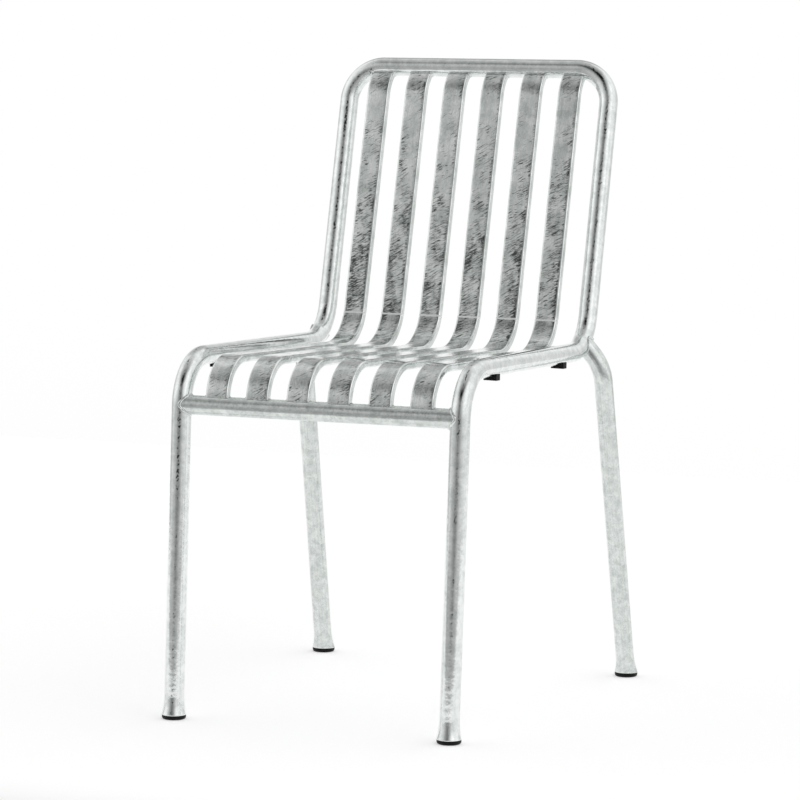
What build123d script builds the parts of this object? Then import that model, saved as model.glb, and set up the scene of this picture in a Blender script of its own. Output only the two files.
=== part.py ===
from build123d import *
import os
from math import radians, sin

os.makedirs("parts", exist_ok=True)

# Stacking garden chair of bent steel tube with six flat-tube slats, hot-dip galvanised.
# Lengths are in millimetres. The origin lies on the floor under the middle of the chair,
# X runs to the right seen from the front, Y to the rear and Z up.
# Left and right are those of someone who looks at the chair from the front.

# Frame tube: front leg, seat rail, back upright and half of the top rail in one bend line
tube_diameter = 24.5
tube_wall = 1.5
frame_bend_radius = 60.0
top_bend_radius = 47.0

# Front rail and rear legs: a thinner tube, whose coped ends saddle onto the frame tube
brace_diameter = 24.0
knee_bend_radius = 58.0
cope_overlap = 1.0

# Frame layout, measured between tube axes
side_spacing = 368.4
front_foot_inset = 1.6
front_leg_lean = 24.0
front_corner_height = 443.8
seat_rail_run = 423.8
seat_rail_drop = 7.5
back_rake = 87.1
back_rise = 361.2

# Rear legs, measured from the rear corners of the frame
rear_knee_spread = 27.0
rear_knee_lead = 6.3
rear_knee_drop = 19.7
rear_leg_splay = 7.8
rear_leg_rake = 91.3

# Flared leg end and the plastic glide that stands in it
flare_diameter = 30.5
flare_length = 25.0
flare_skirt = 6.0
glide_diameter = 30.0
glide_height = 5.5
glide_edge_radius = 3.2
plug_length = 32.0
plug_clearance = 0.3

# Slats: closed flat tube with rounded edges
slat_count = 6
slat_side_lead = 48.95
slat_width = 30.0
slat_thickness = 10.0
slat_edge_radius = 2.5
slat_wall = 1.2
slat_front_bend_radius = 50.0
slat_rear_bend_radius = 63.0
slat_top_bend_radius = 45.0

# Where the slats run, measured from the corners of the frame
front_rail_lead = 7.1
slat_rear_lead = 21.0
slat_rear_drop = 3.3
slat_top_lead = 25.2
slat_top_drop = 36.1

# Weld beads, proud of both surfaces that they join
tube_bead = 2.4
slat_bead = 1.2

# Stacking buffers under the seat rails, with one countersunk screw each
front_buffer_run = 98.0
rear_buffer_lead = 93.8
buffer_length = 12.0
buffer_lip_reach = 8.0
buffer_lip_rise = 4.7
buffer_seat_reach = 2.0
buffer_tail_root = 4.0
buffer_tail_root_drop = 1.0
buffer_tail_reach = 9.0
buffer_tail_thickness = 1.8
buffer_tail_lift = 0.3
buffer_depth = 5.0
screw_diameter = 3.2
screw_head_diameter = 6.0
screw_head_height = 1.7
screw_grip = 2.0
screw_clearance = 0.1

# Sizes that follow from the ones above
tube_radius = tube_diameter / 2
tube_bore_radius = tube_radius - tube_wall
brace_radius = brace_diameter / 2
flare_radius = flare_diameter / 2
side_x = side_spacing / 2
foot_base = front_leg_lean + seat_rail_run - rear_knee_lead + rear_leg_rake
front_foot_y = -foot_base / 2
rear_foot_y = foot_base / 2
front_corner_y = front_foot_y + front_leg_lean
rear_corner_y = front_corner_y + seat_rail_run
rear_corner_height = front_corner_height - seat_rail_drop
top_corner_y = rear_corner_y + back_rake
top_corner_height = rear_corner_height + back_rise
front_rail_height = front_corner_height - slat_front_bend_radius - front_rail_lead
front_rail_y = front_foot_y + front_leg_lean * front_rail_height / front_corner_height
rear_knee_x = side_x + rear_knee_spread
rear_foot_x = rear_knee_x + rear_leg_splay
rear_knee_y = rear_corner_y - rear_knee_lead
rear_knee_height = rear_corner_height - rear_knee_drop
slat_pitch = (side_spacing - 2 * slat_side_lead) / (slat_count - 1)
slat_places = [i * slat_pitch + slat_side_lead - side_x for i in range(slat_count)]
sides = {"left": -1, "right": 1}
buffer_runs = {"front": front_buffer_run, "rear": seat_rail_run - rear_buffer_lead}


def save(part, label):
    """Name a finished piece and write it to its own STEP file."""
    part.label = label
    export_step(part, f"parts/{label}.step")


def side_points(side):
    """Corners of a frame tube's axis, from the front foot to the middle of the top rail."""
    return [
        Vector(side * (side_x - front_foot_inset), front_foot_y, 0),
        Vector(side * side_x, front_corner_y, front_corner_height),
        Vector(side * side_x, rear_corner_y, rear_corner_height),
        Vector(side * side_x, top_corner_y, top_corner_height),
        Vector(0, top_corner_y, top_corner_height),
    ]


def bend_middle(before, corner, after, radius):
    """Middle of the arc that rounds the corner between two straight runs."""
    to_before = (before - corner).normalized()
    to_after = (after - corner).normalized()
    half_angle = radians(to_before.get_angle(to_after) / 2)
    return corner + (to_before + to_after).normalized() * (radius / sin(half_angle) - radius)


def rear_leg_points(side):
    """Foot, knee and weld point of a rear leg, which ends on the axis of the rear frame bend."""
    foot = Vector(side * rear_foot_x, rear_foot_y, 0)
    knee = Vector(side * rear_knee_x, rear_knee_y, rear_knee_height)
    _, front_corner, rear_corner, top_corner, _ = side_points(side)
    weld = bend_middle(front_corner, rear_corner, top_corner, frame_bend_radius)
    return [foot, knee, weld + (weld - knee).normalized() * cope_overlap]


def round_bar(points, bends, radius, bore_radius=0):
    """Tube, or a bar where there is no bore, swept along straight runs joined by bends."""
    with BuildPart() as bar:
        with BuildLine():
            route = FilletPolyline(*points, radius=bends)
        with BuildSketch(Plane(origin=route @ 0, z_dir=route % 0)):
            Circle(radius)
            if bore_radius:
                Circle(bore_radius, mode=Mode.SUBTRACT)
        sweep()
    return bar.part


def leg_plane(foot, next_point):
    """Plane through a leg's axis with its origin at the rim and its Y along the leg."""
    along = (next_point - foot).normalized()
    rim = foot + along * (glide_height / along.Z)
    across = Vector(0, 1, 0).cross(along).normalized()
    return Plane(origin=rim, x_dir=across, z_dir=across.cross(along))


def flare_side(radius, inset):
    """Line down a flared leg end of a tube, a distance inside its outer face."""
    rim_radius = flare_radius - inset
    TangentArc((radius - inset, flare_length), (rim_radius, 0), tangent=(0, -1))
    Line((rim_radius, 0), (rim_radius, -flare_skirt))


def flared_end(plane, radius):
    """Leg end that opens from a tube to the rim, trimmed level with the floor."""
    with BuildPart() as flare:
        with BuildSketch(plane):
            with BuildLine():
                flare_side(radius, 0)
                flare_side(radius, tube_wall)
                Line((flare_radius, -flare_skirt), (flare_radius - tube_wall, -flare_skirt))
                Line((radius, flare_length), (radius - tube_wall, flare_length))
            make_face()
        revolve(axis=Axis(plane.origin, plane.y_dir))
        split(bisect_by=Plane.XY.offset(glide_height), keep=Keep.TOP)
    return flare.part


def buffer_plane(side, run):
    """Cross-section plane of a seat rail, with X outwards and Y up from the tube's axis."""
    _, front_corner, rear_corner, _, _ = side_points(side)
    along = (rear_corner - front_corner).normalized()
    origin = front_corner + along * run
    return Plane(origin=origin, x_dir=(side, 0, 0), z_dir=along * -side)


def buffer_screw(plane, clearance=0):
    """Countersunk screw up into a seat rail, or the hole for it when there is a clearance."""
    bottom = -tube_radius - buffer_depth
    top = -tube_bore_radius + screw_grip
    shank = screw_diameter / 2 + clearance
    with BuildPart() as screw:
        with BuildSketch(plane):
            with BuildLine():
                Polyline(
                    (0, bottom),
                    (screw_head_diameter / 2, bottom),
                    (shank, bottom + screw_head_height),
                    (shank, top),
                    (0, top),
                    close=True,
                )
            make_face()
        revolve(axis=Axis(plane.origin, plane.y_dir))
    return screw.part


# Solid bars along the tube axes, which cope the pieces that are welded to them
frame_bends = [frame_bend_radius, frame_bend_radius, top_bend_radius]
side_cores = {}
rear_leg_cores = {}
for name, side in sides.items():
    side_cores[name] = round_bar(side_points(side), frame_bends, tube_radius)
    rear_leg_cores[name] = round_bar(rear_leg_points(side), [knee_bend_radius], brace_radius)

rail_axis_plane = Plane(origin=(0, front_rail_y, front_rail_height), z_dir=(1, 0, 0))
with BuildPart() as rail_core:
    with BuildSketch(rail_axis_plane):
        Circle(brace_radius)
    extrude(amount=side_x, both=True)

# Frame tubes, which meet in the middle of the top rail
for name, side in sides.items():
    corners = side_points(side)
    foot_plane = leg_plane(corners[0], corners[1])
    flare_top = foot_plane.origin + foot_plane.y_dir * flare_length
    with BuildPart() as side_tube:
        add(round_bar([flare_top] + corners[1:], frame_bends, tube_radius, tube_bore_radius))
        add(flared_end(foot_plane, tube_radius))
        for run in buffer_runs.values():
            add(buffer_screw(buffer_plane(side, run), screw_clearance), mode=Mode.SUBTRACT)
    save(side_tube.part, f"side_tube_{name}")

# Front rail, coped to both front legs
with BuildPart() as front_rail:
    with BuildSketch(rail_axis_plane):
        Circle(brace_radius)
        Circle(brace_radius - tube_wall, mode=Mode.SUBTRACT)
    extrude(amount=side_x, both=True)
    add(side_cores["left"], mode=Mode.SUBTRACT)
    add(side_cores["right"], mode=Mode.SUBTRACT)
save(front_rail.part, "front_rail")

# Rear legs, coped to the outer side of the rear frame bends
for name, side in sides.items():
    foot, knee, weld = rear_leg_points(side)
    foot_plane = leg_plane(foot, knee)
    flare_top = foot_plane.origin + foot_plane.y_dir * flare_length
    leg_points = [flare_top, knee, weld]
    with BuildPart() as rear_leg:
        add(round_bar(leg_points, [knee_bend_radius], brace_radius, brace_radius - tube_wall))
        add(flared_end(foot_plane, brace_radius))
        add(side_cores[name], mode=Mode.SUBTRACT)
    save(rear_leg.part, f"rear_leg_{name}")


def slat_top_bend(top, back_line):
    """Middle and end of the arc that turns a slat's top back, towards the top rail's axis."""
    centre = top + Vector(0, back_line.Z, -back_line.Y) * slat_top_bend_radius
    rail_axis = Vector(top.X, top_corner_y, top_corner_height)
    turn = (top - centre).get_angle(rail_axis - centre)
    return [centre + (top - centre).rotate(Axis.X, -turn * share) for share in (1 / 2, 1)]


def slat_bar(x, grow=0, hollow=False):
    """Slat from the front rail's axis to the top rail, grown all round or with its bore."""
    rail = Vector(x, front_rail_y, front_rail_height)
    front = Vector(x, front_corner_y, front_corner_height)
    rear = Vector(x, rear_corner_y - slat_rear_lead, rear_corner_height - slat_rear_drop)
    top = Vector(x, top_corner_y - slat_top_lead, top_corner_height - slat_top_drop)
    bends = [slat_front_bend_radius, slat_rear_bend_radius]
    width = slat_width + 2 * grow
    thickness = slat_thickness + 2 * grow
    edge = slat_edge_radius + grow
    with BuildPart() as bar:
        with BuildLine():
            route = FilletPolyline(rail, front, rear, top, radius=bends)
            ThreePointArc(top, *slat_top_bend(top, (top - rear).normalized()))
        with BuildSketch(Plane(origin=route @ 0, x_dir=(1, 0, 0), z_dir=route % 0)):
            RectangleRounded(width, thickness, edge)
            if hollow:
                bore = (width - 2 * slat_wall, thickness - 2 * slat_wall)
                RectangleRounded(*bore, edge - slat_wall, mode=Mode.SUBTRACT)
        sweep()
    return bar.part


# Slats, coped to the front rail below and to the top rail behind
for number, x in enumerate(slat_places, start=1):
    with BuildPart() as slat:
        add(slat_bar(x, hollow=True))
        add(rail_core.part, mode=Mode.SUBTRACT)
        add(list(side_cores.values()), mode=Mode.SUBTRACT)
    save(slat.part, f"slat_{number}")

# Weld beads round both ends of the slats
with BuildPart() as rail_halo:
    with BuildSketch(rail_axis_plane):
        Circle(brace_radius + slat_bead)
    extrude(amount=side_x, both=True)
top_halos = [
    round_bar(side_points(side), frame_bends, tube_radius + slat_bead) for side in sides.values()
]
slat_joints = {
    "slat_front_welds": ([rail_halo.part], [rail_core.part]),
    "slat_top_welds": (top_halos, list(side_cores.values())),
}
for label, (rail_halos, rail_cores) in slat_joints.items():
    with BuildPart() as slat_welds:
        for x in slat_places:
            with BuildPart() as bead:
                add(slat_bar(x, grow=slat_bead))
                add(rail_halos, mode=Mode.INTERSECT)
                add(rail_cores + [slat_bar(x)], mode=Mode.SUBTRACT)
            add(bead.part)
    save(slat_welds.part, label)

# Weld collars where the front rail and the rear legs saddle onto the frame tubes
side_halos = {}
for name, side in sides.items():
    side_halos[name] = round_bar(side_points(side), frame_bends, tube_radius + tube_bead)
with BuildPart() as front_rail_welds:
    with BuildSketch(rail_axis_plane):
        Circle(brace_radius + tube_bead)
    extrude(amount=side_x, both=True)
    add(list(side_halos.values()), mode=Mode.INTERSECT)
    add(list(side_cores.values()) + [rail_core.part], mode=Mode.SUBTRACT)
save(front_rail_welds.part, "front_rail_welds")

with BuildPart() as rear_leg_welds:
    for name, side in sides.items():
        with BuildPart() as collar:
            add(round_bar(rear_leg_points(side), [knee_bend_radius], brace_radius + tube_bead))
            add(side_halos[name], mode=Mode.INTERSECT)
            add(side_cores[name], mode=Mode.SUBTRACT)
            add(rear_leg_cores[name], mode=Mode.SUBTRACT)
        add(collar.part)
save(rear_leg_welds.part, "rear_leg_welds")

# Foot glides: a plug that follows the flared bore, on a domed pad that carries the rim
feet = {}
for name, side in sides.items():
    feet[f"front_{name}"] = (side_points(side)[0], side_points(side)[1], tube_bore_radius)
    leg = rear_leg_points(side)
    feet[f"rear_{name}"] = (leg[0], leg[1], brace_radius - tube_wall)
for name, (foot, next_point, bore_radius) in feet.items():
    plane = leg_plane(foot, next_point)
    plug_foot = flare_radius - tube_wall - plug_clearance
    with BuildPart() as foot_glide:
        with BuildSketch(plane):
            with BuildLine():
                Polyline((plug_foot, 0), (plug_foot, -flare_skirt), (0, -flare_skirt))
                Line((0, -flare_skirt), (0, plug_length))
                plug_top = bore_radius - plug_clearance
                Polyline((0, plug_length), (plug_top, plug_length), (plug_top, flare_length))
                TangentArc((plug_top, flare_length), (plug_foot, 0), tangent=(0, -1))
            make_face()
        revolve(axis=Axis(plane.origin, plane.y_dir))
        split(bisect_by=Plane.XY.offset(glide_height), keep=Keep.TOP)
        on_floor = Vector(plane.origin.X, plane.origin.Y, 0)
        with BuildSketch(Plane(origin=on_floor, x_dir=(1, 0, 0), z_dir=(0, -1, 0))):
            with BuildLine():
                edge = (glide_diameter / 2, glide_edge_radius)
                flat_edge = (glide_diameter / 2 - glide_edge_radius, 0)
                Polyline(
                    flat_edge,
                    (0, 0),
                    (0, glide_height),
                    (glide_diameter / 2, glide_height),
                    edge,
                )
                TangentArc(edge, flat_edge, tangent=(0, -1))
            make_face()
        revolve(axis=Axis(on_floor, (0, 0, 1)))
    save(foot_glide.part, f"foot_glide_{name}")

# Stacking buffers, shaped to the underside of the seat rail
for name, side in sides.items():
    for end, run in buffer_runs.items():
        with BuildPart() as buffer:
            with BuildSketch(buffer_plane(side, run)):
                bottom = -tube_radius - buffer_depth
                lip_top = -tube_radius + buffer_lip_rise
                tail_bottom = bottom + buffer_tail_lift
                with BuildLine():
                    Polyline(
                        (buffer_lip_reach, bottom),
                        (buffer_lip_reach, lip_top),
                        (-buffer_seat_reach, lip_top),
                        (-buffer_tail_root, -tube_radius - buffer_tail_root_drop),
                        (-buffer_tail_reach, tail_bottom + buffer_tail_thickness),
                        (-buffer_tail_reach, tail_bottom),
                        close=True,
                    )
                make_face()
            extrude(amount=buffer_length / 2, both=True)
            add(side_cores[name], mode=Mode.SUBTRACT)
            add(buffer_screw(buffer_plane(side, run), screw_clearance), mode=Mode.SUBTRACT)
        save(buffer.part, f"stacking_buffer_{end}_{name}")

with BuildPart() as buffer_screws:
    for side in sides.values():
        for run in buffer_runs.values():
            add(buffer_screw(buffer_plane(side, run)))
save(buffer_screws.part, "buffer_screws")
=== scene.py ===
"""Looks of a galvanised stacking garden chair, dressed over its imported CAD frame.

Lengths in the classes are in millimetres, like those of the CAD source, and MM turns them
into the scene's metres. +Z is up, +Y the rear and +X the right seen from the front.
"""

from __future__ import annotations

import logging
import math
from dataclasses import dataclass, field
from enum import Enum

import bpy
import numpy as np
from mathutils import Matrix

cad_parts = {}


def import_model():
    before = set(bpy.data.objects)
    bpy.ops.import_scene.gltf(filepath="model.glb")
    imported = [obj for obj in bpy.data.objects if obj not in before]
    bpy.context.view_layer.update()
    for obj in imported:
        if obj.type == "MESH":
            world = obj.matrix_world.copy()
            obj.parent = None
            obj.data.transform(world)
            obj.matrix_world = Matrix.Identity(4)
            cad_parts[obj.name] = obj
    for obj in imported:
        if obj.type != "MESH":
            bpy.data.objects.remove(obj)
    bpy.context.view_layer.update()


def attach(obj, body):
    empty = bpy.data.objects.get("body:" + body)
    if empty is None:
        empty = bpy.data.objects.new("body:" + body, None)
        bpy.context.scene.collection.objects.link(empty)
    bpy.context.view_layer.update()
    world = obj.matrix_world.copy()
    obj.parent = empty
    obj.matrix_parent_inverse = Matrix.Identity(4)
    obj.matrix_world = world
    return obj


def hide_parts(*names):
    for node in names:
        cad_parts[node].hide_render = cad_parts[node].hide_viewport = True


LOG = logging.getLogger("garden_chair")
MM = 0.001
BODY = "root"
STRAIGHT = "straight"
OUTWARD = "outward"
Array = np.ndarray


class Side(Enum):
    """Sides of the chair, seen from the front; the value is the sign of X."""

    LEFT = -1
    RIGHT = 1

    @property
    def word(self) -> str:
        """The side's word in node names."""
        return self.name.lower()


class Place(Enum):
    """Front or rear, as a word in node names."""

    FRONT = "front"
    REAR = "rear"


# Small maths


def unit(vectors: Array) -> Array:
    """Vectors of length one.

    Args:
        vectors: (..., 3) vectors.

    Returns:
        Each vector divided by its length.
    """
    return vectors / np.linalg.norm(vectors, axis=-1, keepdims=True)


def vec(x: float, y: float, z: float) -> Array:
    """A vector as a float array."""
    return np.array([x, y, z], float)


def wave_noise(points: Array, size: float, seed: int, waves: int = 14) -> Array:
    """Smooth noise, a sum of plane sine waves with seeded directions and phases.

    Args:
        points: (..., 3) places in millimetres.
        size: Typical width of one bump in millimetres.
        seed: Seed of the directions and phases.
        waves: How many waves are summed.

    Returns:
        Noise of about -1 to 1 at each place: the mean of sin(k . p + phase), scaled up
        by the square root of the number of waves.
    """
    rng = np.random.default_rng(seed)
    directions = unit(rng.normal(size=(waves, 3)))
    rates = directions * (math.pi / size) * rng.uniform(0.6, 1.4, (waves, 1))
    phases = rng.uniform(0, 2 * math.pi, waves)
    return np.sin(points @ rates.T + phases).sum(-1) / math.sqrt(waves)


@dataclass
class BarPath:
    """A bar's axis as stations, with the direction and the length gone at each.

    Attributes:
        points: (n, 3) stations in millimetres.
        tangents: (n, 3) directions of length one.
        lengths: (n,) distance from the start along the axis.
    """

    points: Array
    tangents: Array
    lengths: Array

    @classmethod
    def bent(cls, corners: list[Array], radii: list[float], run_step: float = 30.0,
             arc_step: float = 2.5) -> BarPath:
        """Straight runs joined by arcs that touch both runs.

        At each corner the arc starts r tan(t / 2) before it, where t is the turn, and
        goes round a centre that lies r to the inner side of that point.

        Args:
            corners: Corner points of the axis.
            radii: Bend radius at each inner corner.
            run_step: Longest distance between stations of a straight run.
            arc_step: Largest turn between stations of an arc, in degrees.

        Returns:
            The path.
        """
        points, tangents = [], []
        start = corners[0]
        for before, corner, after, radius in zip(corners, corners[1:], corners[2:], radii):
            into, out = unit(corner - before), unit(after - corner)
            turn = math.acos(float(into @ out))
            reach = radius * math.tan(turn / 2)
            inward = unit(out - into * (into @ out))
            arc_start = corner - into * reach
            centre = arc_start + inward * radius
            cls._add_run(points, tangents, start, arc_start, run_step)
            count = max(3, math.ceil(math.degrees(turn) / arc_step))
            angle = np.linspace(0, turn, count + 1)[1:-1, None]
            points.append(centre - inward * radius * np.cos(angle) + into * radius * np.sin(angle))
            tangents.append(into * np.cos(angle) + inward * np.sin(angle))
            start = corner + out * reach
        cls._add_run(points, tangents, start, corners[-1], run_step)
        joined, ways = np.concatenate(points), np.concatenate(tangents)
        steps = np.linalg.norm(np.diff(joined, axis=0), axis=1)
        return cls(joined, ways, np.concatenate([[0.0], np.cumsum(steps)]))

    @staticmethod
    def _add_run(points: list[Array], tangents: list[Array], start: Array, end: Array,
                 step: float) -> None:
        """Adds a straight run's stations.

        Args:
            points: Lists of stations so far.
            tangents: Lists of directions so far.
            start: First point of the run.
            end: Last point of the run.
            step: Longest distance between stations.
        """
        length = float(np.linalg.norm(end - start))
        share = np.linspace(0, 1, max(2, math.ceil(length / step) + 1))[:, None]
        points.append(start + (end - start) * share)
        tangents.append(np.repeat(unit(end - start)[None], len(share), 0))

    def turned_on(self, centre: Array, turn: float, arc_step: float = 2.5) -> BarPath:
        """The path with one more arc at its end, about a centre in the bar's own plane.

        Args:
            centre: Centre of the arc, at right angles to the path's end.
            turn: Angle of the arc in radians.
            arc_step: Largest turn between stations in degrees.

        Returns:
            The longer path.
        """
        outward = self.points[-1] - centre
        radius = float(np.linalg.norm(outward))
        count = max(3, math.ceil(math.degrees(turn) / arc_step))
        angle = np.linspace(0, turn, count + 1)[1:, None]
        way = self.tangents[-1]
        points = centre + outward * np.cos(angle) + way * radius * np.sin(angle)
        tangents = way * np.cos(angle) - unit(outward) * np.sin(angle)
        lengths = self.lengths[-1] + radius * angle[:, 0]
        return BarPath(np.concatenate([self.points, points]),
                       np.concatenate([self.tangents, tangents]),
                       np.concatenate([self.lengths, lengths]))

    def frames(self, reference: Array) -> tuple[Array, Array]:
        """Two directions across the bar at each station.

        Args:
            reference: A direction that the path never runs along.

        Returns:
            across, at right angles to the path and the reference, and lift, at right
            angles to both the path and across.
        """
        across = unit(np.cross(self.tangents, reference))
        return across, np.cross(across, self.tangents)


# Meshes


def grid_faces(rows: int, columns: int, wrap_rows: bool) -> Array:
    """Quads of a grid whose columns close on themselves.

    Args:
        rows: Rows of points.
        columns: Points in a row.
        wrap_rows: True if the last row also joins the first.

    Returns:
        (faces, 4) point numbers: row i, column j goes with its right and upper neighbours.
    """
    row = np.arange(rows if wrap_rows else rows - 1)[:, None]
    column = np.arange(columns)[None, :]
    upper, right = (row + 1) % rows, (column + 1) % columns
    quads = [row * columns + column, row * columns + right,
             upper * columns + right, upper * columns + column]
    return np.stack(np.broadcast_arrays(*quads), -1).reshape(-1, 4)


def closed_surface(name: str, points: Array, straight: Array, wrap_rows: bool = False,
                   crease: float = 30.0, outward: Array | None = None) -> bpy.types.Object:
    """A closed mesh from a grid of points, its ends capped or its rows joined in a ring.

    Args:
        name: Name of the piece.
        points: (rows, columns, 3) places in millimetres.
        straight: (rows, columns, 3) the same points in the bar before it was bent, in
            millimetres: two places across the section and the distance along it.
        wrap_rows: True if the last row joins the first, as on a ring.
        crease: Edges that turn by more degrees than this stay sharp.
        outward: (rows, columns, 3) direction that each point faces, if a finish needs it.

    Returns:
        The object, with its places in its mesh and its faces outwards.
    """
    rows, columns = points.shape[:2]
    faces = grid_faces(rows, columns, wrap_rows)
    flat = points.reshape(-1, 3) * MM
    caps = []
    if not wrap_rows:
        caps = [np.arange(columns)[::-1], (rows - 1) * columns + np.arange(columns)]
    if signed_volume(flat, faces, caps) < 0:
        faces, caps = faces[:, ::-1], [cap[::-1] for cap in caps]
    mesh = bpy.data.meshes.new(name)
    mesh.from_pydata(flat.tolist(), [], faces.tolist() + [cap.tolist() for cap in caps])
    attribute = mesh.attributes.new(STRAIGHT, "FLOAT_VECTOR", "POINT")
    attribute.data.foreach_set("vector", (straight * MM).astype(np.float32).ravel())
    if outward is not None:
        attribute = mesh.attributes.new(OUTWARD, "FLOAT_VECTOR", "POINT")
        attribute.data.foreach_set("vector", outward.astype(np.float32).ravel())
    mesh.polygons.foreach_set("use_smooth", np.ones(len(mesh.polygons), bool))
    mesh.set_sharp_from_angle(angle=math.radians(crease))
    mesh.validate()
    piece = bpy.data.objects.new(name, mesh)
    bpy.context.scene.collection.objects.link(piece)
    return piece


def signed_volume(points: Array, quads: Array, caps: list[Array]) -> float:
    """Volume inside a closed mesh, below zero if its faces point inwards.

    Args:
        points: (n, 3) places.
        quads: (faces, 4) point numbers.
        caps: Point numbers of each end cap.

    Returns:
        The sum over triangles of a . (b x c) / 6.
    """
    fans = [np.stack([np.full(len(c) - 2, c[0]), c[1:-1], c[2:]], -1) for c in caps]
    triangles = np.concatenate([quads[:, :3], quads[:, [0, 2, 3]], *fans])
    a, b, c = (points[triangles[:, i]] for i in range(3))
    return float(np.einsum("ij,ij->i", a, np.cross(b, c)).sum() / 6)


def joined(name: str, pieces: list[bpy.types.Object]) -> bpy.types.Object:
    """One object from several, with all their faces.

    Args:
        name: Name of the joined piece.
        pieces: Objects with meshes, at the origin.

    Returns:
        The joined object.
    """
    with bpy.context.temp_override(active_object=pieces[0], selected_editable_objects=pieces):
        bpy.ops.object.join()
    pieces[0].name = name
    pieces[0].data.name = name
    return pieces[0]


def dress(piece: bpy.types.Object, finish: Finish, *nodes: str) -> bpy.types.Object:
    """Gives a piece its material and body, and hides the CAD nodes that it stands for.

    Args:
        piece: The finished piece.
        finish: Its finish.
        nodes: Names of the CAD nodes.

    Returns:
        The piece.
    """
    piece.data.materials.clear()
    piece.data.materials.append(finish.material())
    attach(piece, BODY)
    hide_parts(*nodes)
    LOG.info("%s: %d faces, stands for %s", piece.name, len(piece.data.polygons), ", ".join(nodes))
    return piece


# Materials


def linear(hex_colour: str) -> tuple[float, float, float, float]:
    """An sRGB colour as Blender's linear light.

    Args:
        hex_colour: Six hex digits.

    Returns:
        Red, green, blue and alpha.
    """
    srgb = np.array([int(hex_colour[i:i + 2], 16) for i in (0, 2, 4)]) / 255
    light = np.where(srgb <= 0.04045, srgb / 12.92, ((srgb + 0.055) / 1.055) ** 2.4)
    return (*light.tolist(), 1.0)


def add_node(material: bpy.types.Material | bpy.types.World, kind: str, *,
             settings: dict | None = None, inputs: dict | None = None,
             links: dict | None = None) -> bpy.types.Node:
    """Adds a shader node.

    Args:
        material: Material or world that gets the node.
        kind: Blender's name of the node type, without "ShaderNode".
        settings: Attributes to set on the node.
        inputs: Values to set on its input sockets, by name or number.
        links: Output sockets to link to its input sockets, by name or number.

    Returns:
        The node.
    """
    tree = material.node_tree
    node = tree.nodes.new("ShaderNode" + kind)
    for name, value in (settings or {}).items():
        setattr(node, name, value)
    for name, value in (inputs or {}).items():
        node.inputs[name].default_value = value
    for name, socket in (links or {}).items():
        tree.links.new(socket, node.inputs[name])
    return node


def set_levels(node: bpy.types.Node, stops: tuple[tuple[float, float], ...]) -> None:
    """Sets a colour ramp's stops to plain levels.

    Args:
        node: The ramp node.
        stops: Place and level of each stop, lowest first.
    """
    elements = node.color_ramp.elements
    while len(elements) < len(stops):
        elements.new(1.0)
    for element, (place, level) in zip(elements, stops):
        element.position = place
        element.color = (level, level, level, 1.0)


class Finish:
    """A finish: builds its material once and hands it out again."""

    slot: str
    name: str

    def material(self) -> bpy.types.Material:
        """The finish's material, made at its first use.

        Returns:
            The material.
        """
        found = bpy.data.materials.get(self.name)
        if found is None:
            found = bpy.data.materials.new(self.name)
            found.use_nodes = True
            found.node_tree.nodes.clear()
            shader = self.build(found)
            add_node(found, "OutputMaterial", links={"Surface": shader.outputs["BSDF"]})
        return found

    def build(self, material: bpy.types.Material) -> bpy.types.Node:
        """Adds the finish's nodes.

        Args:
            material: An empty material.

        Returns:
            The shader node.
        """
        raise NotImplementedError


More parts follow.
